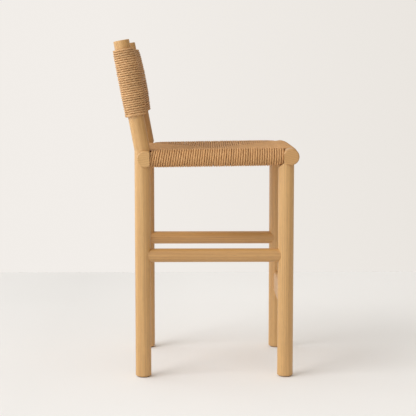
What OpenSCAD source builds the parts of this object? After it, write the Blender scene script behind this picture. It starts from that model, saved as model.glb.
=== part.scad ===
// Counter-height bar stool: a round-section wooden frame with a woven cord seat,
// a cord-wrapped backrest and a footrest between the front legs.
// Millimetres. +Z is up, the sitter faces -Y and the sitter's right side is -X.
// The origin is on the floor, under the middle of the whole stool.

/* [Legs] */
// Diameter of the legs and the back posts
leg_d = 45; // [40:0.5:48]
// Distance between the leg axes, side to side
leg_span_x = 396; // [350:1:440]
// Distance between the front and the rear leg axes
leg_span_y = 408; // [360:1:450]
// Chamfer round the foot of each leg
foot_chamfer = 3; // [1:0.5:4]
// Diameter of the glide under each leg
glide_d = 34; // [24:1:36]
// Height that the glide lifts the wood off the floor
glide_h = 2; // [1:0.5:3]

/* [Seat frame] */
// Diameter of the front and rear seat rails at their bare ends
rail_d = 47; // [45:0.5:50]
// Diameter of the side rails, and of the seat rails under the cord
core_d = 36; // [32:0.5:38]
// How far the front and rear seat rails stand past the legs at each side
rail_overhang = 6; // [3:0.5:12]
// Radius of the rounded rim at the rail ends
rim_r = 4; // [2:0.5:6]
// Height of the rear seat rail's axis
rear_rail_z = 628.5; // [600:0.5:660]
// Height of the front seat rail's axis
front_rail_z = 634.5; // [600:0.5:660]
// How far the rear rail's axis is in front of the rear legs' axes
rear_rail_set = 8; // [6:0.5:9]
// How far the front rail's axis is in front of the front legs' axes
front_rail_set = 12; // [10:0.5:13]
// Distance from the rear rail's axis to the flat that seats the side rails
rear_flat = 12.5; // [11:0.5:13]
// Distance from the front rail's axis to the flat that seats the side rails
front_flat = 20; // [18:0.5:21]

/* [Stretchers and footrest] */
// Diameter of the side stretchers
stretcher_d = 39; // [30:0.5:40]
// How far the side stretchers' axes are inboard of the leg axes
stretcher_inset = 2; // [0:0.5:3]
// Diameter of the rear stretcher
rear_stretcher_d = 28; // [22:0.5:28]
// How far the rear stretcher's axis is behind the rear legs' axes
rear_stretcher_set = 4; // [4:0.5:6]
// Height of the side and rear stretchers' axes
stretcher_z = 351.5; // [300:0.5:400]
// Thickness of the oval footrest slat
footrest_t = 22; // [18:0.5:26]
// Height of the oval footrest slat
footrest_h = 68; // [50:1:80]
// Height of the middle of the footrest
footrest_z = 213; // [150:1:280]
// How far the footrest's middle is in front of the front legs' axes
footrest_set = 2; // [0:0.5:4]

/* [Back] */
// Height at which the back posts start to lean
kink_z = 654; // [652:0.5:658]
// Angle by which the back posts lean backwards
back_lean = 10.7; // [5:0.1:14]
// Length of a back post above the point where it starts to lean
post_len = 312; // [280:1:340]
// Bare length at the top of each back post
post_bare = 24; // [15:1:40]
// Height of the cord-wrapped panel, along the posts
panel_h = 191; // [150:1:220]
// Diameter of the two spreaders inside the panel
spreader_d = 28; // [22:0.5:34]

/* [Cord] */
// Thickness of the cord layer on the seat
seat_cord_t = 7; // [5:0.5:9]
// Thickness of the cord layer on the back, where the turns crowd each other
back_cord_t = 9; // [6:0.5:10]

/* [Joinery] */
// Diameter of the round stub tenons
tenon_d = 18; // [12:0.5:18]
// Length of the stub tenons on the stretchers, spreaders and footrest
tenon_l = 13; // [10:0.5:13]
// Length of the side rails' tenons
rail_tenon_l = 12; // [8:0.5:12]
// Diameter of the dowels that tie the legs and posts to the seat rails
dowel_d = 12; // [8:0.5:12]

/* [Hidden] */
$fn = 96;

wood = [0.80, 0.63, 0.42];
wood_dark = [0.70, 0.53, 0.34];
cord = [0.72, 0.54, 0.36];
cord_pale = [0.77, 0.60, 0.42];
steel = [0.62, 0.62, 0.60];
felt = [0.35, 0.32, 0.28];

right = -1;
left = 1;

leg_r = leg_d / 2;
leg_x = leg_span_x / 2;
rail_r = rail_d / 2;
core_r = core_d / 2;
tenon_r = tenon_d / 2;
dowel_r = dowel_d / 2;
seat_cord_r = core_r + seat_cord_t;
back_cord_r = leg_r + back_cord_t;
// Half the length of the front and rear rails, and of their corded middle
rail_half = leg_x + leg_r + rail_overhang;
core_half = leg_x - seat_cord_r;

// Places along the stool's depth are distances in front of the rear legs' axes
rear_rail_u = rear_rail_set;
front_rail_u = leg_span_y + front_rail_set;
footrest_u = leg_span_y + footrest_set;

// The seat's own plane rises a little from the rear rail to the front rail
seat_run = front_rail_u - rear_rail_u;
seat_rise = front_rail_z - rear_rail_z;
seat_pitch = atan(seat_rise / seat_run);
seat_len = sqrt(seat_run * seat_run + seat_rise * seat_rise);

// Ends of the panel, measured up the posts from where they start to lean
panel_top = post_len - post_bare;
panel_bottom = panel_top - panel_h;
spreader_inset = 24;

// The origin is halfway between the frontmost and the rearmost point
front_reach = front_rail_u + seat_cord_r;
rear_reach = panel_top * sin(back_lean) + back_cord_r * cos(back_lean);
rear_leg_y = (front_reach - rear_reach) / 2;
function depth_y(u) = rear_leg_y - u;

// Dowels: the front ones stop below the seat frame's top, the rear ones run into the posts
front_dowel_z = [571, 640];
rear_dowel_u = 1;
rear_dowel_z = [570, 692];

// Behind the front rail's flat, the front legs' tops fall away so that the side rails' cord can pass:
// depth of the slope below the seat plane at the flat and at its foot, and its length
slope_head = core_r + 0.3;
slope_foot = seat_cord_r + 5.5;
slope_run = 16;

tack_head_r = 3;
tack_head_t = 1.5;
tack_shank_r = 0.9;
tack_l = 13;
tack_sink = 0.3;
glide_nail_r = 1.5;
glide_nail_l = 18;
post_chamfer = 1.5;
// Clear distance that a cutting shape runs past what it cuts
past = 40;

// ---- shared shapes ----

module rod_x(x0, x1, r) {
    translate([x0, 0, 0]) rotate([0, 90, 0]) cylinder(r = r, h = x1 - x0);
}

module rod_y(y0, y1, r) {
    translate([0, y0, 0]) rotate([-90, 0, 0]) cylinder(r = r, h = y1 - y0);
}

module tube_x(x0, x1, r_out, r_in) {
    difference() {
        rod_x(x0, x1, r_out);
        rod_x(x0 - 1, x1 + 1, r_in);
    }
}

// The seat's plane: its origin is on the rear rail's axis, and -Y runs to the front rail
module in_seat_plane() {
    translate([0, depth_y(rear_rail_u), rear_rail_z]) rotate([-seat_pitch, 0, 0]) children();
}

// A back post's own frame: +Z runs up the leaning post from where it starts to lean
module in_post(side) {
    translate([side * leg_x, depth_y(0), kink_z]) rotate([-back_lean, 0, 0]) children();
}

// The panel's own frame: as a post's, midway between the two posts
module in_panel() {
    translate([0, depth_y(0), kink_z]) rotate([-back_lean, 0, 0]) children();
}

// ---- legs and posts ----

module leg_axis(side, u) {
    translate([side * leg_x, depth_y(u), 0]) children();
}

module leg_blank(top) {
    translate([0, 0, glide_h]) cylinder(r1 = leg_r - foot_chamfer, r2 = leg_r, h = foot_chamfer);
    translate([0, 0, glide_h + foot_chamfer]) cylinder(r = leg_r, h = top - glide_h - foot_chamfer);
}

// Round space of a seat rail, by which the leg below it is coped
module rail_space(u, z) {
    translate([0, depth_y(u), z]) rod_x(-rail_half - 1, rail_half + 1, rail_r);
}

// Space in front of the rear rail's flat, where the side rails and their cord are
module rear_cord_space() {
    in_seat_plane()
        translate([-rail_half - 1, -rear_flat - past, -seat_cord_r - 1])
            cube([2 * rail_half + 2, past, 2 * seat_cord_r + 2]);
}

// Space behind the front rail's flat: above a slope that falls backwards over the leg's top
module front_cord_space() {
    in_seat_plane() translate([-rail_half - 1, -seat_len, 0]) rotate([90, 0, 90])
        linear_extrude(2 * rail_half + 2)
            polygon([
                [front_flat, -slope_head],
                [front_flat + slope_run, -slope_foot],
                [front_flat + past, -slope_foot],
                [front_flat + past, past],
                [front_flat, past]
            ]);
}

// A front leg with its coped and sloped top, but without its bores
module front_leg_blank(side) {
    difference() {
        leg_axis(side, leg_span_y) leg_blank(front_rail_z);
        rail_space(front_rail_u, front_rail_z);
        front_cord_space();
    }
}

module front_leg(side) {
    color(wood) difference() {
        front_leg_blank(side);
        front_dowel(side);
        side_tenons(side);
        footrest_tenons();
        leg_axis(side, leg_span_y) glide_nail();
    }
}

module rear_leg(side) {
    color(wood) difference() {
        leg_axis(side, 0) leg_blank(rear_rail_z);
        rail_space(rear_rail_u, rear_rail_z);
        rear_cord_space();
        rear_dowel(side);
        side_tenons(side);
        rear_tenons();
        leg_axis(side, 0) glide_nail();
    }
}

// The post sits on the rear rail and on the leg's lip behind it, rises upright and then leans
module back_post(side) {
    color(wood) difference() {
        union() {
            leg_axis(side, 0) translate([0, 0, rear_rail_z]) cylinder(r = leg_r, h = kink_z - rear_rail_z);
            in_post(side) {
                sphere(r = leg_r);
                cylinder(r = leg_r, h = post_len - post_chamfer);
                translate([0, 0, post_len - post_chamfer])
                    cylinder(r1 = leg_r, r2 = leg_r - post_chamfer, h = post_chamfer);
            }
        }
        rail_space(rear_rail_u, rear_rail_z);
        rear_cord_space();
        rear_dowel(side);
        spreader_tenons(panel_top - spreader_inset);
        spreader_tenons(panel_bottom + spreader_inset);
        back_tack_pair(side, mouth = 1);
    }
}

// ---- seat frame ----

// Half a seat rail, from its middle to its rounded end
module half_rail() {
    rotate([0, 90, 0]) rotate_extrude() {
        square([core_r, core_half + 1]);
        translate([0, core_half]) square([rail_r - rim_r, rail_half - core_half]);
        translate([0, core_half]) square([rail_r, rail_half - core_half - rim_r]);
        translate([rail_r - rim_r, rail_half - rim_r]) circle(r = rim_r);
    }
}

// A seat rail on the X axis, with flats on the side that facing (-1 or 1) names in Y
module seat_rail_blank(flat, facing) {
    difference() {
        union() {
            half_rail();
            mirror([1, 0, 0]) half_rail();
        }
        for (side = [right, left])
            translate([side * (core_half + past), facing * (flat + past / 2), 0])
                cube([2 * past, past, 3 * rail_r], center = true);
    }
}

module rear_rail() {
    color(wood) difference() {
        in_seat_plane() seat_rail_blank(rear_flat, -1);
        for (side = [right, left]) {
            rear_dowel(side);
            rail_tenons(side);
        }
    }
}

module front_rail() {
    color(wood) difference() {
        in_seat_plane() translate([0, -seat_len, 0]) seat_rail_blank(front_flat, 1);
        for (side = [right, left]) {
            front_dowel(side);
            rail_tenons(side);
        }
    }
}

module rail_tenons(side) {
    in_seat_plane() translate([side * leg_x, 0, 0]) {
        rod_y(-rear_flat, -rear_flat + rail_tenon_l, tenon_r);
        rod_y(-seat_len + front_flat - rail_tenon_l, -seat_len + front_flat, tenon_r);
    }
}

module side_rail(side) {
    color(wood_dark) difference() {
        union() {
            in_seat_plane() translate([side * leg_x, 0, 0])
                rod_y(-seat_len + front_flat, -rear_flat, core_r);
            rail_tenons(side);
        }
        seat_tack_pair(side, mouth = 1);
    }
}

// ---- stretchers and footrest ----

module side_tenons(side) {
    leg_axis(side, 0) translate([-side * stretcher_inset, 0, stretcher_z]) {
        rod_y(-leg_r - 1, -leg_r + tenon_l, tenon_r);
        rod_y(-leg_span_y + leg_r - tenon_l, -leg_span_y + leg_r + 1, tenon_r);
    }
}

module side_bar(side) {
    leg_axis(side, 0) translate([-side * stretcher_inset, 0, stretcher_z])
        rod_y(-leg_span_y, 0, stretcher_d / 2);
}

// Round bar between a rear and a front leg, coped round both
module side_stretcher(side) {
    color(wood) {
        difference() {
            side_bar(side);
            for (u = [0, leg_span_y])
                leg_axis(side, u) cylinder(r = leg_r, h = 2 * stretcher_z);
        }
        side_tenons(side);
    }
}

module rear_tenons() {
    translate([0, depth_y(-rear_stretcher_set), stretcher_z])
        for (side = [right, left]) mirror([side - 1, 0, 0])
            rod_x(leg_x - leg_r - 1, leg_x - leg_r + tenon_l, tenon_r);
}

// Round bar between the rear legs, coped round them and scribed to the side stretchers' ends
module rear_stretcher() {
    color(wood) {
        difference() {
            translate([0, depth_y(-rear_stretcher_set), stretcher_z])
                rod_x(-leg_x, leg_x, rear_stretcher_d / 2);
            for (side = [right, left]) {
                leg_axis(side, 0) cylinder(r = leg_r, h = 2 * stretcher_z);
                side_bar(side);
            }
        }
        rear_tenons();
    }
}

// Upright section with full-round edges, extruded along X
module oval_bar(x0, x1, t, h) {
    translate([x0, 0, 0]) rotate([90, 0, 90]) linear_extrude(x1 - x0) {
        square([t, h - t], center = true);
        for (end = [-1, 1]) translate([0, end * (h - t) / 2]) circle(r = t / 2);
    }
}

module footrest_tenons() {
    translate([0, depth_y(footrest_u), footrest_z])
        for (side = [right, left]) mirror([side - 1, 0, 0])
            oval_bar(leg_x - leg_r - 1, leg_x - leg_r + tenon_l, footrest_t / 2, footrest_h - footrest_t);
}

module front_footrest() {
    color(wood) {
        difference() {
            translate([0, depth_y(footrest_u), footrest_z]) oval_bar(-leg_x, leg_x, footrest_t, footrest_h);
            for (side = [right, left])
                leg_axis(side, leg_span_y) cylinder(r = leg_r, h = 2 * footrest_z);
        }
        footrest_tenons();
    }
}

// ---- back spreaders ----

module spreader_tenons(up) {
    in_panel() translate([0, 0, up]) for (side = [right, left]) mirror([side - 1, 0, 0])
        rod_x(leg_x - leg_r - 1, leg_x - leg_r + tenon_l, tenon_r);
}

module back_spreader(up) {
    color(wood_dark) {
        difference() {
            in_panel() translate([0, 0, up]) rod_x(-leg_x, leg_x, spreader_d / 2);
            for (side = [right, left])
                in_post(side) cylinder(r = leg_r, h = post_len);
        }
        spreader_tenons(up);
    }
}

// ---- seat cord ----

module seat_cord_side_rail(side) {
    color(cord) difference() {
        in_seat_plane() translate([side * leg_x, 0, 0]) difference() {
            rod_y(-seat_len + front_flat, -rear_flat, seat_cord_r);
            rod_y(-seat_len, 0, core_r);
        }
        front_leg_blank(side);
    }
}

module seat_cord_cross_rail(along) {
    color(cord) in_seat_plane() translate([0, -along, 0]) tube_x(-core_half, core_half, seat_cord_r, core_r);
}

// One layer of the weave, between the rails' cord: level is the height of its lower face
module seat_cord_layer(level) {
    color(cord_pale) difference() {
        in_seat_plane() difference() {
            translate([0, 0, level]) linear_extrude(seat_cord_t) {
                translate([-leg_x, -seat_len + seat_cord_r])
                    square([2 * leg_x, seat_len - 2 * seat_cord_r]);
                translate([-core_half, -seat_len]) square([2 * core_half, seat_len]);
            }
            for (side = [right, left])
                translate([side * leg_x, 0, 0]) rod_y(-seat_len, 0, seat_cord_r);
            for (along = [0, seat_len])
                translate([0, -along, 0]) rod_x(-rail_half, rail_half, seat_cord_r);
        }
        for (side = [right, left]) front_leg_blank(side);
    }
}

// ---- back cord ----

module back_cord_post(side) {
    color(cord) in_post(side) translate([0, 0, panel_bottom]) difference() {
        cylinder(r = back_cord_r, h = panel_h);
        translate([0, 0, -1]) cylinder(r = leg_r, h = panel_h + 2);
        translate([-side * past, 0, panel_h / 2]) cube([2 * past, 3 * past, 2 * panel_h], center = true);
    }
}

// The front (-1) or rear (1) layer of the panel, straight from post to post
module back_cord_layer(facing) {
    color(cord_pale) in_panel()
        translate([-leg_x, facing * (leg_r + back_cord_t / 2) - back_cord_t / 2, panel_bottom])
            cube([2 * leg_x, back_cord_t, panel_h]);
}

// ---- fastenings ----

module front_dowel(side) {
    leg_axis(side, front_rail_u) translate([0, 0, front_dowel_z[0]])
        cylinder(r = dowel_r, h = front_dowel_z[1] - front_dowel_z[0]);
}

module rear_dowel(side) {
    leg_axis(side, rear_dowel_u) translate([0, 0, rear_dowel_z[0]])
        cylinder(r = dowel_r, h = rear_dowel_z[1] - rear_dowel_z[0]);
}

module front_corner_dowels() {
    color(wood_dark) for (side = [right, left]) front_dowel(side);
}

module rear_corner_dowels() {
    color(wood_dark) for (side = [right, left]) rear_dowel(side);
}

// A tack driven outwards along X from x = 0; its bore has a mouth that runs out past the head
module tack(side, mouth) {
    mirror([side - 1, 0, 0]) {
        rod_x(tack_sink - mouth, tack_sink + tack_head_t, tack_head_r);
        rod_x(tack_sink + tack_head_t / 2, tack_l, tack_shank_r);
    }
}

// The cord's ends are tacked to the inner faces of the side rails and the posts, just below flush
module seat_tack_pair(side, mouth = 0) {
    in_seat_plane() for (y = [-rear_flat - 20, -seat_len + front_flat + 20])
        translate([side * (leg_x - core_r), y, 0]) tack(side, mouth);
}

module back_tack_pair(side, mouth = 0) {
    in_post(side) for (up = [panel_bottom + 8, panel_top - 8])
        translate([-side * leg_r, 0, up]) tack(side, mouth);
}

module seat_cord_tacks() {
    color(steel) for (side = [right, left]) seat_tack_pair(side);
}

module back_cord_tacks() {
    color(steel) for (side = [right, left]) back_tack_pair(side);
}

module glide_nail() {
    cylinder(r = glide_nail_r, h = glide_h + glide_nail_l);
}

module foot_glides() {
    color(felt) for (side = [right, left], u = [0, leg_span_y]) leg_axis(side, u) {
        cylinder(d = glide_d, h = glide_h);
        glide_nail();
    }
}

front_leg(right);  // front_leg_right
front_leg(left);  // front_leg_left
rear_leg(right);  // rear_leg_right
rear_leg(left);  // rear_leg_left
back_post(right);  // back_post_right
back_post(left);  // back_post_left
front_rail();
rear_rail();
side_rail(right);  // side_rail_right
side_rail(left);  // side_rail_left
side_stretcher(right);  // side_stretcher_right
side_stretcher(left);  // side_stretcher_left
rear_stretcher();
front_footrest();
back_spreader(panel_top - spreader_inset);  // back_spreader_top
back_spreader(panel_bottom + spreader_inset);  // back_spreader_bottom
seat_cord_side_rail(right);  // seat_cord_right_rail
seat_cord_side_rail(left);  // seat_cord_left_rail
seat_cord_cross_rail(seat_len);  // seat_cord_front_rail
seat_cord_cross_rail(0);  // seat_cord_rear_rail
seat_cord_layer(core_r);  // seat_cord_top
seat_cord_layer(-seat_cord_r);  // seat_cord_underside
back_cord_post(right);  // back_cord_right_post
back_cord_post(left);  // back_cord_left_post
back_cord_layer(-1);  // back_cord_front
back_cord_layer(1);  // back_cord_rear
front_corner_dowels();
rear_corner_dowels();
seat_cord_tacks();
back_cord_tacks();
foot_glides();
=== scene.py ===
import math

import bpy
import numpy as np
from mathutils import Matrix, Vector


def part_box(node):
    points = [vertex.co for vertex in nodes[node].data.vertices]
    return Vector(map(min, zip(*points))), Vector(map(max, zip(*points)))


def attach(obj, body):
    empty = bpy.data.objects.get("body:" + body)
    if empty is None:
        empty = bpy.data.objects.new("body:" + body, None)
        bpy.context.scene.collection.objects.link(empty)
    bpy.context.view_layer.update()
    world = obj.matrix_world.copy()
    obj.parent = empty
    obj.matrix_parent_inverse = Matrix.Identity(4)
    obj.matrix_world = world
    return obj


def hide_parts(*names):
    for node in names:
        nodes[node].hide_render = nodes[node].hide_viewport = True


# Bar stool with footrest: the looks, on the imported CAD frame.
# The stool's lengths are millimetres until build_piece() turns them into metres.
# The studio's lengths are metres. The sitter faces -Y, and -X is the sitter's right.

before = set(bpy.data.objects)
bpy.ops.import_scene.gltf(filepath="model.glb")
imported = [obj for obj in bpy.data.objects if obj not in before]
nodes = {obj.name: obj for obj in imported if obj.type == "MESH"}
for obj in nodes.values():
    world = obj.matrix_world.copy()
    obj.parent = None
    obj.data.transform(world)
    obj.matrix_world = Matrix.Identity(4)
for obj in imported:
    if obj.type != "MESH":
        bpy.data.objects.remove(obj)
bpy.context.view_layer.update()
BODY = "root"
MM = 0.001
rng = np.random.default_rng(4107)


# ---- places, from the CAD ----

def box_mm(node):
    """The node's lowest and highest corner."""
    low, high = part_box(node)
    return np.array(low) / MM, np.array(high) / MM


LEG_LOW, LEG_HIGH = box_mm("rear_leg_left")
LEG_X = (LEG_LOW[0] + LEG_HIGH[0]) / 2
LEG_R = (LEG_HIGH[0] - LEG_LOW[0]) / 2
FRONT_LEG_Y = box_mm("front_leg_right")[1][1] - LEG_R
REAR_LEG_Y = box_mm("back_post_right")[0][1] + LEG_R
# Radius of the front and rear rails at their bare ends, and of every rail under the cord
RAIL_R = 23.5
CORE_R = 18.0
# The rails' axes, as (y, z)
REAR_RAIL = np.array([box_mm("rear_rail")[1][1] - RAIL_R, box_mm("rear_rail")[1][2] - RAIL_R])
FRONT_RAIL = np.array([box_mm("front_rail")[0][1] + RAIL_R, box_mm("front_rail")[1][2] - RAIL_R])
SEAT_LEN = float(np.linalg.norm(FRONT_RAIL - REAR_RAIL))
SEAT_PITCH = math.atan2(FRONT_RAIL[1] - REAR_RAIL[1], REAR_RAIL[0] - FRONT_RAIL[0])
CORDED_X = box_mm("seat_cord_front_rail")[1][0]
# The side rails' corded length runs from REAR_FLAT to FRONT_FLAT ahead of the rear rail's axis
REAR_FLAT = 12.5
FRONT_SETBACK = 20.0
FRONT_FLAT = SEAT_LEN - FRONT_SETBACK

# The posts bend back at KINK_Z, and the cord panel's heights are distances along them from there
KINK_Z = 654.0
LEAN = math.radians(10.7)
PANEL_LOW = 97.0
PANEL_HIGH = 288.0


def seat_to_world(points):
    """Points given as (x, distance ahead of the rear rail's axis, height over the rails' plane)."""
    x, ahead, up = points.T
    y = REAR_RAIL[0] - ahead * math.cos(SEAT_PITCH) + up * math.sin(SEAT_PITCH)
    z = REAR_RAIL[1] + ahead * math.sin(SEAT_PITCH) + up * math.cos(SEAT_PITCH)
    return np.column_stack([x, y, z])


def panel_to_world(points):
    """Points given as (x, distance in front of the posts' axes, distance up the posts)."""
    x, ahead, along = points.T
    y = REAR_LEG_Y - ahead * math.cos(LEAN) + along * math.sin(LEAN)
    z = KINK_Z + ahead * math.sin(LEAN) + along * math.cos(LEAN)
    return np.column_stack([x, y, z])


# ---- two-ply cord ----

# Points round a strand, and the distance between two rings of them
RING = 12
RING_STEP = 2.3
# How square the plies' lobes are, and how far a closed end is drawn in
LOBE_POWER = 0.8
END_TAPER = 0.3
# Keeps the fibres of strands with different phases apart
FIBRE_JUMP = 1000


def unit(rows):
    return rows / np.linalg.norm(rows, axis=1, keepdims=True)


def path_length(path):
    return float(np.linalg.norm(np.diff(path, axis=0), axis=1).sum())


def resample(path):
    """The path as evenly spaced points, with the distance along it at each."""
    steps = np.linalg.norm(np.diff(path, axis=0), axis=1)
    at = np.concatenate([[0.0], np.cumsum(steps)])
    count = max(5, int(round(at[-1] / RING_STEP)) + 1)
    even = np.linspace(0.0, at[-1], count)
    return even, np.column_stack([np.interp(even, at, path[:, i]) for i in range(3)])


class Strands:
    """Collects the strands of one mesh, as rings of points.

    fibre holds each point's place in the untwisted cord. shade holds the strand's tint, and two
    masks for painted shade: how far into the crease between the plies the point lies, and how
    near it is to the next strand."""

    def __init__(self, waist):
        """waist is how wide the cord is between its plies, as a share of its width across them."""
        self.waist = waist
        self.points = []
        self.faces = []
        self.fibre = []
        self.shade = []
        self.total = 0

    def add(self, path, plane, size, period, phase, tint, start=0.0, closed_ends=True):
        """One strand along path, which bends in the plane whose normal is plane. size is its half
        thickness and half width, and period the length of one turn of its plies."""
        at, centre = resample(path)
        tangent = unit(np.gradient(centre, axis=0))
        out = unit(np.cross(tangent, plane))
        across = np.cross(out, tangent)
        turn = np.arange(RING) * 2 * math.pi / RING
        lobe = self.waist + (1 - self.waist) * np.abs(np.cos(turn)) ** LOBE_POWER
        angle = turn[None, :] + (phase + 2 * math.pi * (start + at) / period)[:, None]
        reach = np.tile(lobe, (len(at), 1))
        if closed_ends:
            reach[0] *= END_TAPER
            reach[-1] *= END_TAPER
        ring = centre[:, None, :]
        ring = ring + (size[0] * reach * np.cos(angle))[..., None] * out[:, None, :]
        ring = ring + (size[1] * reach * np.sin(angle))[..., None] * across[:, None, :]
        self.points.append(ring.reshape(-1, 3))
        self.fibre.append(self.straight(at + start + FIBRE_JUMP * phase, turn, lobe * size[0]))
        # Masks for painted shade: the crease between the plies, and the sides towards the next
        # strand
        crease_shade_mask = np.tile(1 - np.abs(np.cos(turn)), len(at))
        touch_shade_mask = np.abs(np.sin(angle)).ravel()
        self.shade.append(np.column_stack([np.full(len(crease_shade_mask), tint), crease_shade_mask, touch_shade_mask]))
        self.join(len(at), closed_ends)

    def straight(self, at, turn, radius):
        """The rings' points in the untwisted cord: distance along it, and place across it."""
        rows = np.repeat(at, RING)
        return np.column_stack([
            rows,
            np.tile(radius * np.cos(turn), len(at)),
            np.tile(radius * np.sin(turn), len(at)),
        ]) * MM

    def join(self, count, closed_ends):
        """Faces between the strand's rings."""
        ring = np.arange(RING)
        following = (ring + 1) % RING
        first = (self.total + np.arange(count - 1) * RING)[:, None]
        second = first + RING
        corners = (first + ring, first + following, second + following, second + ring)
        quads = np.stack(corners, axis=-1)
        self.faces.extend(quads.reshape(-1, 4).tolist())
        if closed_ends:
            last = self.total + (count - 1) * RING
            self.faces.append((self.total + ring[::-1]).tolist())
            self.faces.append((last + ring).tolist())
        self.total += count * RING


def build_piece(name, strands, material, replaced):
    """A mesh piece made of the collected strands."""
    mesh = bpy.data.meshes.new(name)
    points = np.concatenate(strands.points) * MM
    mesh.from_pydata(points.tolist(), [], strands.faces)
    for label, rows in (("fibre", strands.fibre), ("shade", strands.shade)):
        values = np.concatenate(rows).astype(np.float32)
        attribute = mesh.attributes.new(label, "FLOAT_VECTOR", "POINT")
        attribute.data.foreach_set("vector", values.ravel())
    mesh.polygons.foreach_set("use_smooth", np.ones(len(mesh.polygons), dtype=bool))
    mesh.materials.append(material)
    mesh.update()
    piece = bpy.data.objects.new(name, mesh)
    bpy.context.collection.objects.link(piece)
    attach(piece, BODY)
    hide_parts(*replaced)
    return piece


# ---- seat: an envelope weave over the four rails ----

STRAND_R = 3.40
SEAT_WAIST = 0.91
# Radius of the strands' centres round a rail, and how much more it is away from the corners
SEAT_R = CORE_R + 3.1
SEAT_CROWD = 1.6
CROWD_REACH = 2.2
# How far a side strand is ahead over the rail, and behind under it, next to each cross rail
REAR_SLANT = 5.5
FRONT_SLANT = 1.0
# How far a strand strays in radius, in place and, round the front or rear rail, in slant
RADIUS_STRAY = 0.2
PLACE_STRAY = 0.25
CROSS_SLANT_STRAY = 0.3
SIDE_COUNT = 56
CROSS_COUNT = 52
# The top layer's sag in the middle, and how far inside the side rails' axes it starts
SAG = 7.0
SAG_INSET = 12
# How gently the sag starts at the side rails and at the front and rear rails
SAG_EASE_ACROSS = 0.35
SAG_EASE_ALONG = 0.5
# How far a strand dives at the mitre, less near the corner, where it has no room
MITRE_DEPTH = 6.5
MITRE_EASE = 0.8
MITRE_REACH = 1.3
# Behind FRONT_FLAT the front legs' tops fall away: over this length, and by this much
LEG_RELIEF = 16
LEG_RELIEF_DEPTH = 12.2
SIDE_PITCH = (FRONT_FLAT - REAR_FLAT) / SIDE_COUNT
CROSS_PITCH = 2 * CORDED_X / CROSS_COUNT


def rail_loop(inner, axis, radius, depth):
    """Round one rail, as (outward, up) points: out from the mitre at inner on top, over the rail at
    axis, and back underneath. depth is how far the strand dives at the mitre.
    A strand too near the rail for the whole dive keeps only the part of it that fits."""
    turn = np.radians(np.arange(84.0, -85.0, -6.0))
    arc = np.column_stack([axis + radius * np.cos(turn), radius * np.sin(turn)])
    dive = np.array([
        [inner - 1.5, radius - depth],
        [inner + 2.0, radius - depth / 3],
        [inner + 6.0, radius - 0.3],
    ])
    nearest = axis - 3.0
    dive = dive[dive[:, 0] < nearest]
    level = min(inner + 9.0, nearest)
    run_points = 24
    run = np.column_stack([np.linspace(level, axis - 2.5, run_points), np.full(run_points, radius)])
    flip = np.array([1.0, -1.0])
    return np.vstack([dive, run, arc, run[::-1] * flip, dive[::-1] * flip])


def mitre_depth(from_corner):
    """The strands next to the corner have no room to dive."""
    return MITRE_DEPTH * (1 - MITRE_EASE * math.exp(-from_corner / MITRE_REACH))


def crowd(index, count):
    """How much a strand stands out from the rail: the middle ones ride up on each other."""
    from_end = min(index, count - 1 - index)
    return SEAT_CROWD * (1 - math.exp(-from_end / CROWD_REACH))


def sag(x, ahead):
    """How far the sitter's weight has pressed the top layer down."""
    middle = (REAR_FLAT + FRONT_FLAT) / 2
    half = (FRONT_FLAT - REAR_FLAT) / 2
    across = np.clip(1 - (x / (LEG_X - SAG_INSET)) ** 2, 0, 1)
    along = np.clip(1 - ((ahead - middle) / half) ** 2, 0, 1)
    return SAG * across ** SAG_EASE_ACROSS * along ** SAG_EASE_ALONG


def outside_front_leg(x, ahead, up):
    """False where the strand would run inside a front leg's top."""
    leg_ahead = (REAR_RAIL[0] - FRONT_LEG_Y) / math.cos(SEAT_PITCH)
    relief = np.clip(FRONT_FLAT - ahead, 0, LEG_RELIEF)
    top = -(CORE_R + 0.3) - relief * LEG_RELIEF_DEPTH / LEG_RELIEF
    within = np.hypot(np.abs(x) - LEG_X, ahead - leg_ahead) < LEG_R - 1.0
    return ~(within & (up < top + 1.0))


def runs(mask):
    """(start, end) of each run of True."""
    edges = np.flatnonzero(np.diff(np.concatenate([[0], mask.astype(int), [0]])))
    return list(zip(edges[::2], edges[1::2]))


def lay(strands, local, plane, tint):
    """Adds one seat strand, given in the seat's own coordinates."""
    shift = np.where(local[:, 2] > 0, sag(local[:, 0], local[:, 1]), 0.0)
    local = local.copy()
    local[:, 2] -= shift
    keep = outside_front_leg(*local.T)
    period = rng.uniform(25.0, 30.0)
    phase = rng.uniform(0, 2 * math.pi)
    size = (STRAND_R, STRAND_R)
    for start, end in runs(keep):
        if end - start > 3:
            strands.add(seat_to_world(local[start:end]), plane, size, period, phase, tint)


def side_strand(strands, side, index):
    """One strand round a side rail. side is -1 for the right rail and 1 for the left."""
    from_corner = min(index, SIDE_COUNT - 1 - index)
    ahead = REAR_FLAT + (index + 0.5) * SIDE_PITCH
    mitre = CORDED_X - (from_corner + 0.5) * CROSS_PITCH
    radius = SEAT_R + crowd(index, SIDE_COUNT) + rng.uniform(-RADIUS_STRAY, RADIUS_STRAY)
    loop = rail_loop(max(mitre, 1.5), LEG_X, radius, mitre_depth(from_corner))
    slant = REAR_SLANT + (FRONT_SLANT - REAR_SLANT) * index / (SIDE_COUNT - 1)
    slant = slant + rng.uniform(-PLACE_STRAY, PLACE_STRAY)
    from_mitre = np.clip((loop[:, 0] - mitre) / (LEG_X - mitre), 0, 1)
    stray = rng.uniform(-PLACE_STRAY, PLACE_STRAY)
    along = ahead + stray + slant * from_mitre * loop[:, 1] / radius
    local = np.column_stack([side * loop[:, 0], along, loop[:, 1]])
    lay(strands, local, np.array([0.0, -side, 0.0]), rng.normal())


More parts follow.
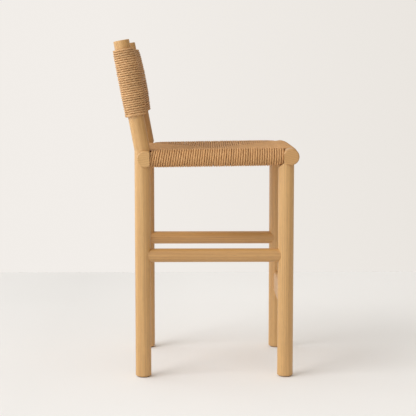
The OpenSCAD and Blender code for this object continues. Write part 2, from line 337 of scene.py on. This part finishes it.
def cross_strand(strands, at_front, index):
    """One strand round the front or the rear rail."""
    from_corner = min(index, CROSS_COUNT - 1 - index)
    x = -CORDED_X + (index + 0.5) * CROSS_PITCH
    radius = SEAT_R + crowd(index, CROSS_COUNT) + rng.uniform(-RADIUS_STRAY, RADIUS_STRAY)
    mitre = (from_corner + 0.5) * SIDE_PITCH
    inner = -(FRONT_SETBACK + mitre) if at_front else -(REAR_FLAT + mitre)
    loop = rail_loop(inner, 0.0, radius, mitre_depth(from_corner))
    outward = loop[:, 0]
    ahead = SEAT_LEN + outward if at_front else -outward
    slant = rng.uniform(-CROSS_SLANT_STRAY, CROSS_SLANT_STRAY)
    across = x + rng.uniform(-PLACE_STRAY, PLACE_STRAY) + slant * loop[:, 1] / radius
    plane = np.array([-1.0 if at_front else 1.0, 0.0, 0.0])
    lay(strands, np.column_stack([across, ahead, loop[:, 1]]), plane, rng.normal())


def inner_strands():
    """The runs between the two layers, where each side strand goes on to the opposite mitre."""
    strands = Strands(SEAT_WAIST)
    plane = np.array([0.0, 1.0, 0.0])
    size = (STRAND_R, STRAND_R)
    period = 28.0
    for index in range(CROSS_COUNT // 2):
        reach = CORDED_X - (index + 0.5) * CROSS_PITCH + 3.0
        from_flat = (index + 0.5) * SIDE_PITCH
        for ahead in (REAR_FLAT + from_flat, FRONT_FLAT - from_flat):
            path = np.array([[-reach, ahead, 5.0], [0.0, ahead, 3.0], [reach, ahead, 5.0]])
            phase = rng.uniform(0, 2 * math.pi)
            strands.add(seat_to_world(path), plane, size, period, phase, rng.normal())
    return strands


def build_seat(material):
    layers = ("seat_cord_top", "seat_cord_underside")
    for name, side in (("right", -1), ("left", 1)):
        strands = Strands(SEAT_WAIST)
        for index in range(SIDE_COUNT):
            side_strand(strands, side, index)
        replaced = ("seat_cord_%s_rail" % name, *layers)
        build_piece("seat_strands_" + name, strands, material, replaced)
    for name, at_front in (("front", True), ("rear", False)):
        strands = Strands(SEAT_WAIST)
        for index in range(CROSS_COUNT):
            cross_strand(strands, at_front, index)
        replaced = ("seat_cord_%s_rail" % name, *layers)
        build_piece("seat_strands_" + name, strands, material, replaced)
    build_piece("seat_strands_inside", inner_strands(), material, layers)


# ---- back: one cord wound round both posts ----

BACK_TURNS = 29
BACK_WAIST = 0.90
# Half thickness and half width of the cord in a turn, and in the thicker one along the lower edge
BACK_HALF = (3.8, 3.20)
EDGE_HALF = (4.1, 4.4)
BACK_PERIOD = 27.0
EDGE_PERIOD = 21.0
# Heights of the lower edge's turn and of the lowest and highest other turn
EDGE_AT = PANEL_LOW + 4.4
LOWEST_AT = PANEL_LOW + 11.4
HIGHEST_AT = PANEL_HIGH - 3.4
BACK_R = LEG_R + 3.3
# How far the panel's middle is dished between the posts, in front and behind
FRONT_HOLLOW = 5.0
REAR_HOLLOW = 1.5
# How far the turns halfway up stand out from the posts, in front and behind
FRONT_SWELL = 6.2
REAR_SWELL = 1.2
SWELL_POWER = 0.55
# How far the plies' lay moves on from one turn to the next, and how much that varies
LAY_STEP = 0.75
LAY_STRAY = 0.3


def wound(along, extra):
    """How far in front of and behind the posts' axes a turn lies at this height."""
    share = min(max((along - PANEL_LOW) / (PANEL_HIGH - PANEL_LOW), 0), 1)
    arch = math.sin(math.pi * share) ** SWELL_POWER
    return BACK_R + extra + FRONT_SWELL * arch, BACK_R + extra + REAR_SWELL * arch


def turn_parts(along, extra):
    """One turn as its four stretches, each as (x, ahead, along) points."""
    ahead, behind = wound(along, extra)
    fan = np.radians(np.arange(90.0, -91.0, -7.5))
    out = (ahead + behind) / 2 * np.cos(fan)
    depth = np.where(fan > 0, ahead, behind) * np.sin(fan)
    straight = np.linspace(-LEG_X, LEG_X, 60)
    dish = 1 - (straight / LEG_X) ** 2
    flat = np.full(len(straight), along)
    front = np.column_stack([straight, ahead - FRONT_HOLLOW * dish, flat])
    rear = np.column_stack([-straight, -behind + REAR_HOLLOW * dish, flat])
    left = np.column_stack([LEG_X + out, depth, np.full(len(fan), along)])
    right = np.column_stack([-LEG_X - out, depth, np.full(len(fan), along)])[::-1]
    return {"front": front, "left_post": left, "rear": rear, "right_post": right}


def back_turns():
    """Each turn as (height, how much it stands out, half sizes, rough period of its plies)."""
    turns = [(EDGE_AT, 0.2, EDGE_HALF, EDGE_PERIOD)]
    for height in np.linspace(LOWEST_AT, HIGHEST_AT, BACK_TURNS):
        along = height + rng.uniform(-0.2, 0.2)
        extra = rng.uniform(-0.35, 0.35)
        turns.append((along, extra, BACK_HALF, BACK_PERIOD))
    return turns


def build_back(material):
    bunches = {name: Strands(BACK_WAIST) for name in ("front", "left_post", "rear", "right_post")}
    foot, above = panel_to_world(np.array([[0.0, 0.0, 0.0], [0.0, 0.0, 1.0]]))
    plane = above - foot
    lay_of_plies = 0.0
    for along, extra, half, period in back_turns():
        parts = {name: panel_to_world(part) for name, part in turn_parts(along, extra).items()}
        around = sum(path_length(path) for path in parts.values())
        period = around / round(around / period)
        lay_of_plies += rng.normal(LAY_STEP, LAY_STRAY)
        tint = rng.normal()
        start = 0.0
        for name, path in parts.items():
            bunches[name].add(path, plane, half, period, lay_of_plies, tint, start, False)
            start += path_length(path)
    for name, strands in bunches.items():
        build_piece("back_strands_" + name, strands, material, ("back_cord_" + name,))


# ---- materials ----

def add_node(tree, kind, **values):
    """A shader node. A value named with a capital is an input, any other a setting of the node."""
    made = tree.nodes.new("ShaderNode" + kind)
    for key, value in values.items():
        if key[0].isupper():
            made.inputs[key.replace("_", " ")].default_value = value
        else:
            setattr(made, key, value)
    return made


def new_material(name):
    material = bpy.data.materials.new(name)
    material.use_nodes = True
    tree = material.node_tree
    tree.nodes.clear()
    shader = add_node(tree, "BsdfPrincipled")
    output = add_node(tree, "OutputMaterial")
    tree.links.new(shader.outputs[0], output.inputs[0])
    return material, tree, shader


def mix(tree, blend, factor, a, b):
    """Mixes two colours. Each of factor, a and b is a socket or a constant."""
    made = add_node(tree, "Mix", data_type="RGBA", blend_type=blend)
    for socket, value in ((made.inputs[0], factor), (made.inputs[6], a), (made.inputs[7], b)):
        if isinstance(value, bpy.types.NodeSocket):
            tree.links.new(value, socket)
        else:
            socket.default_value = value
    return made.outputs[2]


def ramp(tree, value, stops):
    """A colour ramp with stops of (place, grey or colour)."""
    made = add_node(tree, "ValToRGB")
    elements = made.color_ramp.elements
    while len(elements) < len(stops):
        elements.new(0.5)
    for element, (place, colour) in zip(elements, stops):
        element.position = place
        rgb = colour if isinstance(colour, tuple) else (colour, colour, colour)
        element.color = (*rgb, 1)
    tree.links.new(value, made.inputs[0])
    return made.outputs[0]


def noise(tree, coords, scale, stretch=(1, 1, 1), detail=3.0, rough=0.5):
    """Noise over coords, with each axis scaled by stretch."""
    place = add_node(tree, "Mapping", Scale=stretch)
    tree.links.new(coords, place.inputs["Vector"])
    made = add_node(tree, "TexNoise", Scale=scale, Detail=detail, Roughness=rough)
    tree.links.new(place.outputs[0], made.inputs["Vector"])
    return made.outputs["Fac"]


def bump(tree, shader, height, strength, distance):
    made = add_node(tree, "Bump", Strength=strength, Distance=distance)
    tree.links.new(height, made.inputs["Height"])
    tree.links.new(made.outputs[0], shader.inputs["Normal"])


WOOD_LIGHT = (0.640, 0.375, 0.132)
WOOD_MID = (0.575, 0.314, 0.097)
WOOD_DARK = (0.475, 0.244, 0.071)
WOOD_ROUGHNESS = (0.40, 0.54)
# Metres from the piece's origin to the middle of its growth rings
PITH_AWAY = 0.075
# From one piece to the next: the turn of the rings' middle, and the metres further up the trunk
PITH_TURN = 2.4
TRUNK_STEP = 0.37
# Turns each grain axis to Z
GRAIN_TURN = {
    "z": (0, 0, 0),
    "x": (0, -math.pi / 2, 0),
    "y": (math.pi / 2, 0, 0),
    "post": (LEAN, 0, 0),
}


def toned(colour, tone):
    return tuple(c * t for c, t in zip(colour, tone))


def wood(name, axis, seed, tone):
    """Oiled pale hardwood, grain along axis. The pith lies beside the piece, as seed sets."""
    light, mid, dark = (toned(colour, tone) for colour in (WOOD_LIGHT, WOOD_MID, WOOD_DARK))
    material, tree, shader = new_material(name)
    spin = seed * PITH_TURN
    pith = (PITH_AWAY * math.cos(spin), PITH_AWAY * math.sin(spin), TRUNK_STEP * seed)
    coords = add_node(tree, "TexCoord")
    placed = add_node(tree, "Mapping", Location=pith, Rotation=GRAIN_TURN[axis])
    tree.links.new(coords.outputs["Object"], placed.inputs["Vector"])
    grain = placed.outputs[0]
    stretched = add_node(tree, "Mapping", Scale=(1, 1, 0.05))
    tree.links.new(grain, stretched.inputs["Vector"])
    rings = add_node(tree, "TexWave", wave_type="RINGS", rings_direction="Z", Scale=52.0)
    rings.inputs["Distortion"].default_value = 3.2
    rings.inputs["Detail"].default_value = 2.0
    rings.inputs["Detail Scale"].default_value = 1.4
    rings.inputs["Detail Roughness"].default_value = 0.6
    tree.links.new(stretched.outputs[0], rings.inputs["Vector"])
    base = ramp(tree, rings.outputs["Fac"], [(0.0, dark), (0.35, mid), (1.0, light)])
    cloud = noise(tree, grain, 9.0, (1, 1, 0.25), 2.0)
    base = mix(tree, "MIX", 0.55, base, ramp(tree, cloud, [(0.3, mid), (0.7, light)]))
    fibres = noise(tree, grain, 620.0, (1, 1, 0.022), 3.0, 0.6)
    base = mix(tree, "MULTIPLY", 0.75, base, ramp(tree, fibres, [(0.3, 0.78), (0.62, 1.0)]))
    pores = noise(tree, grain, 1500.0, (1, 1, 0.03), 1.0, 0.4)
    base = mix(tree, "MULTIPLY", 0.6, base, ramp(tree, pores, [(0.25, 0.45), (0.36, 1.0)]))
    tree.links.new(base, shader.inputs["Base Color"])
    gloss = add_node(tree, "MapRange")
    gloss.inputs["To Min"].default_value, gloss.inputs["To Max"].default_value = WOOD_ROUGHNESS
    tree.links.new(fibres, gloss.inputs["Value"])
    tree.links.new(gloss.outputs[0], shader.inputs["Roughness"])
    shader.inputs["Specular IOR Level"].default_value = 1.0
    bump(tree, shader, mix(tree, "MIX", 0.5, fibres, pores), 0.25, 0.0004)
    return material


def cord(name, light, dark, painted_shade_colour, touch_shade_strength):
    """Two-ply paper cord. Fibres run along each ply. The crease between the plies and the sides
    towards the next strand are darkened with painted shade; the last argument sets how dark the
    painted shade towards the next strand gets."""
    material, tree, shader = new_material(name)
    place = add_node(tree, "Attribute", attribute_name="fibre")
    shade = add_node(tree, "Attribute", attribute_name="shade")
    parts = add_node(tree, "SeparateXYZ")
    tree.links.new(shade.outputs["Vector"], parts.inputs[0])
    fibres = noise(tree, place.outputs["Vector"], 1500.0, (0.11, 1, 1), 3.0, 0.65)
    lumps = noise(tree, place.outputs["Vector"], 60.0, (1, 1, 1), 2.0)
    lumpy = ramp(tree, lumps, [(0.3, 0.0), (0.7, 1.0)])
    base = mix(tree, "MIX", lumpy, (*dark, 1), (*light, 1))
    fibrous = ramp(tree, fibres, [(0.28, 0.62), (0.66, 1.0)])
    base = mix(tree, "MULTIPLY", 0.8, base, fibrous)
    tinted = add_node(tree, "MapRange")
    tinted.inputs["From Min"].default_value = -2.0
    tinted.inputs["From Max"].default_value = 2.0
    tree.links.new(parts.outputs[0], tinted.inputs["Value"])
    paler = ramp(tree, tinted.outputs[0], [(0.0, 0.80), (1.0, 1.0)])
    base = mix(tree, "MULTIPLY", 0.8, base, paler)
    # Painted shade: darker in the crease between the plies and on the sides towards the next strand
    painted_crease_shade = ramp(tree, parts.outputs[1], [(0.50, 0.0), (1.0, 0.30)])
    base = mix(tree, "MIX", painted_crease_shade, base, (*painted_shade_colour, 1))
    painted_touch_shade = ramp(tree, parts.outputs[2], [(0.55, 0.0), (1.0, touch_shade_strength)])
    base = mix(tree, "MIX", painted_touch_shade, base, (*painted_shade_colour, 1))
    tree.links.new(base, shader.inputs["Base Color"])
    shader.inputs["Roughness"].default_value = 0.62
    shader.inputs["Specular IOR Level"].default_value = 0.40
    bump(tree, shader, fibres, 0.6, 0.0006)
    return material


# Cord colours. The darkest is the painted shade's colour, and the last value sets how dark the
# painted shade towards the next strand gets
SEAT_CORD = {
    "light": (0.850, 0.488, 0.215),
    "dark": (0.695, 0.368, 0.145),
    "painted_shade_colour": (0.350, 0.165, 0.058),
    "touch_shade_strength": 0.65,
}
BACK_CORD = {
    "light": (0.870, 0.540, 0.265),
    "dark": (0.705, 0.400, 0.174),
    "painted_shade_colour": (0.370, 0.185, 0.070),
    "touch_shade_strength": 0.35,
}


def felt(name):
    material, tree, shader = new_material(name)
    coords = add_node(tree, "TexCoord")
    hairs = noise(tree, coords.outputs["Object"], 900.0, (1, 1, 1), 4.0, 0.7)
    base = ramp(tree, hairs, [(0.3, (0.07, 0.06, 0.05)), (0.7, (0.16, 0.14, 0.12))])
    tree.links.new(base, shader.inputs["Base Color"])
    shader.inputs["Roughness"].default_value = 0.95
    bump(tree, shader, hairs, 0.8, 0.0008)
    return material


def steel(name):
    material, tree, shader = new_material(name)
    coords = add_node(tree, "TexCoord")
    marks = noise(tree, coords.outputs["Object"], 700.0, (1, 1, 1), 3.0)
    base = ramp(tree, marks, [(0.3, (0.30, 0.29, 0.27)), (0.7, (0.46, 0.45, 0.43))])
    tree.links.new(base, shader.inputs["Base Color"])
    shader.inputs["Metallic"].default_value = 1.0
    shader.inputs["Roughness"].default_value = 0.42
    bump(tree, shader, marks, 0.15, 0.0003)
    return material


WOOD_AXES = {
    "front_leg_right": "z", "front_leg_left": "z", "rear_leg_right": "z", "rear_leg_left": "z",
    "back_post_right": "post", "back_post_left": "post",
    "front_rail": "x", "rear_rail": "x", "rear_stretcher": "x", "front_footrest": "x",
    "back_spreader_top": "x", "back_spreader_bottom": "x",
    "side_rail_right": "y", "side_rail_left": "y",
    "side_stretcher_right": "y", "side_stretcher_left": "y",
    "front_corner_dowels": "z", "rear_corner_dowels": "z",
}

# The pieces come from different boards: the front rail, the stretchers and the footrest are warmer
PALE_BOARD = (1.0, 1.0, 1.0)
WARM_BOARD = (0.915, 0.870, 0.800)
WARM_PIECES = (
    "front_rail", "side_stretcher_right", "side_stretcher_left", "front_footrest", "rear_stretcher",
)


def finish_nodes():
    """Gives every CAD node that stays in view its own material."""
    finishes = {}
    for seed, (name, axis) in enumerate(WOOD_AXES.items()):
        tone = WARM_BOARD if name in WARM_PIECES else PALE_BOARD
        finishes[name] = wood("wood_" + name, axis, seed, tone)
    finishes["seat_cord_tacks"] = steel("tack_steel_seat")
    finishes["back_cord_tacks"] = steel("tack_steel_back")
    finishes["foot_glides"] = felt("glide_felt")
    for name, material in finishes.items():
        for held in nodes[name].material_slots:
            held.material = material


# ---- floor, light and camera ----

# The floor's paper, and the painted shade that darkens it over Y, most towards +Y, the lamps' side
FLOOR_COLOUR = (0.913, 0.911, 0.903)
FLOOR_PAINTED_SHADE = [(0.0, 0.975), (0.5, 0.955), (1.0, 0.880)]
FLOOR_NEAR = -5.0
FLOOR_FAR = 1.7
FLOOR_SIDE = 5.0
WORLD_LEFT = (1.140, 1.140, 1.130)
WORLD_RIGHT = (0.420, 0.362, 0.300)
# The backdrop's glow is painted light: brighter towards +Y, the lamps' side, dimmer towards -Y
BACKDROP_BRIGHT = (0.885, 0.850, 0.812)
BACKDROP_DIM = (0.820, 0.785, 0.740)
CAMERA_PLACE = (-3.78665, 0.05083, 0.87562)
CAMERA_PITCH = math.radians(6.172)
CAMERA_YAW = math.radians(0.8994)
CAMERA_LENS = 109.72


def shade_over_y(tree, coordinates, low, high, stops):
    """A colour that depends on Y alone, with the stops spread from low to high."""
    coords = add_node(tree, "TexCoord")
    parts = add_node(tree, "SeparateXYZ")
    tree.links.new(coords.outputs[coordinates], parts.inputs[0])
    across = add_node(tree, "MapRange")
    across.inputs["From Min"].default_value = low
    across.inputs["From Max"].default_value = high
    tree.links.new(parts.outputs[1], across.inputs["Value"])
    return ramp(tree, across.outputs[0], stops)


def build_floor():
    corners = [
        (FLOOR_NEAR, -FLOOR_SIDE, 0.0),
        (FLOOR_FAR, -FLOOR_SIDE, 0.0),
        (FLOOR_FAR, FLOOR_SIDE, 0.0),
        (FLOOR_NEAR, FLOOR_SIDE, 0.0),
    ]
    mesh = bpy.data.meshes.new("studio_floor")
    mesh.from_pydata(corners, [], [(0, 1, 2, 3)])
    material, tree, shader = new_material("studio_floor")
    coords = add_node(tree, "TexCoord")
    mottle = noise(tree, coords.outputs["Object"], 1.3, (1, 1, 1), 2.0)
    darker = tuple(0.985 * c for c in FLOOR_COLOUR)
    paper = ramp(tree, mottle, [(0.3, darker), (0.7, FLOOR_COLOUR)])
    # Painted shade over Y, darkest towards +Y
    painted_floor_shade = shade_over_y(tree, "Object", -0.5, 0.5, FLOOR_PAINTED_SHADE)
    base = mix(tree, "MULTIPLY", 1.0, paper, painted_floor_shade)
    tree.links.new(base, shader.inputs["Base Color"])
    shader.inputs["Roughness"].default_value = 0.85
    shader.inputs["Specular IOR Level"].default_value = 0.1
    mesh.materials.append(material)
    floor = bpy.data.objects.new("studio_floor", mesh)
    bpy.context.collection.objects.link(floor)


def build_backdrop():
    """A far dome that only the camera sees, so that every view has the same pale background."""
    bpy.ops.mesh.primitive_uv_sphere_add(segments=48, ring_count=24, radius=14.0)
    dome = bpy.context.active_object
    dome.name = "studio_backdrop"
    for kind in ("visible_diffuse", "visible_glossy", "visible_transmission", "visible_shadow"):
        setattr(dome, kind, False)
    material = bpy.data.materials.new("studio_backdrop")
    material.use_nodes = True
    tree = material.node_tree
    tree.nodes.clear()
    glow = add_node(tree, "Emission")
    output = add_node(tree, "OutputMaterial")
    tree.links.new(glow.outputs[0], output.inputs[0])
    # Painted light: the glow brightens towards +Y
    stops = [(0.0, BACKDROP_DIM), (1.0, BACKDROP_BRIGHT)]
    shade = shade_over_y(tree, "Object", -3.6, 1.2, stops)
    tree.links.new(shade, glow.inputs["Color"])
    dome.data.materials.append(material)


def build_world():
    """Ambient light, brighter on the side that the key light comes from."""
    world = bpy.data.worlds.new("studio")
    world.use_nodes = True
    tree = world.node_tree
    background = tree.nodes["Background"]
    shade = shade_over_y(tree, "Generated", -1.0, 1.0, [(0.1, WORLD_RIGHT), (0.9, WORLD_LEFT)])
    tree.links.new(shade, background.inputs["Color"])
    bpy.context.scene.world = world


def area_light(name, place, target, size, power):
    lamp = bpy.data.lights.new(name, "AREA")
    lamp.shape = "RECTANGLE"
    lamp.size, lamp.size_y = size
    lamp.energy = power
    held = bpy.data.objects.new(name, lamp)
    held.location = place
    held.rotation_euler = (Vector(target) - Vector(place)).to_track_quat("-Z", "Y").to_euler()
    bpy.context.collection.objects.link(held)


def build_lights():
    area_light("key", (-3.0, 4.6, 4.2), (0, 0, 0.45), (4.4, 3.6), 205.0)
    area_light("edge", (1.6, 4.2, 1.7), (0, 0, 0.5), (3.2, 3.0), 26.0)


def build_camera():
    level = math.cos(CAMERA_PITCH)
    ahead = level * math.cos(CAMERA_YAW)
    aside = -level * math.sin(CAMERA_YAW)
    forward = Vector((ahead, aside, -math.sin(CAMERA_PITCH)))
    right = Vector((-math.sin(CAMERA_YAW), -math.cos(CAMERA_YAW), 0.0))
    up = right.cross(forward)
    lens = bpy.data.cameras.new("camera")
    lens.lens = CAMERA_LENS
    lens.sensor_width = 36.0
    held = bpy.data.objects.new("camera", lens)
    turned = Matrix((right, up, -forward)).transposed().to_4x4()
    held.matrix_world = Matrix.Translation(CAMERA_PLACE) @ turned
    bpy.context.collection.objects.link(held)
    bpy.context.scene.camera = held
    bpy.context.scene.view_settings.view_transform = "Standard"


build_camera()
build_world()
build_lights()
build_floor()
build_backdrop()
finish_nodes()
build_seat(cord("seat_cord", **SEAT_CORD))
build_back(cord("back_cord", **BACK_CORD))
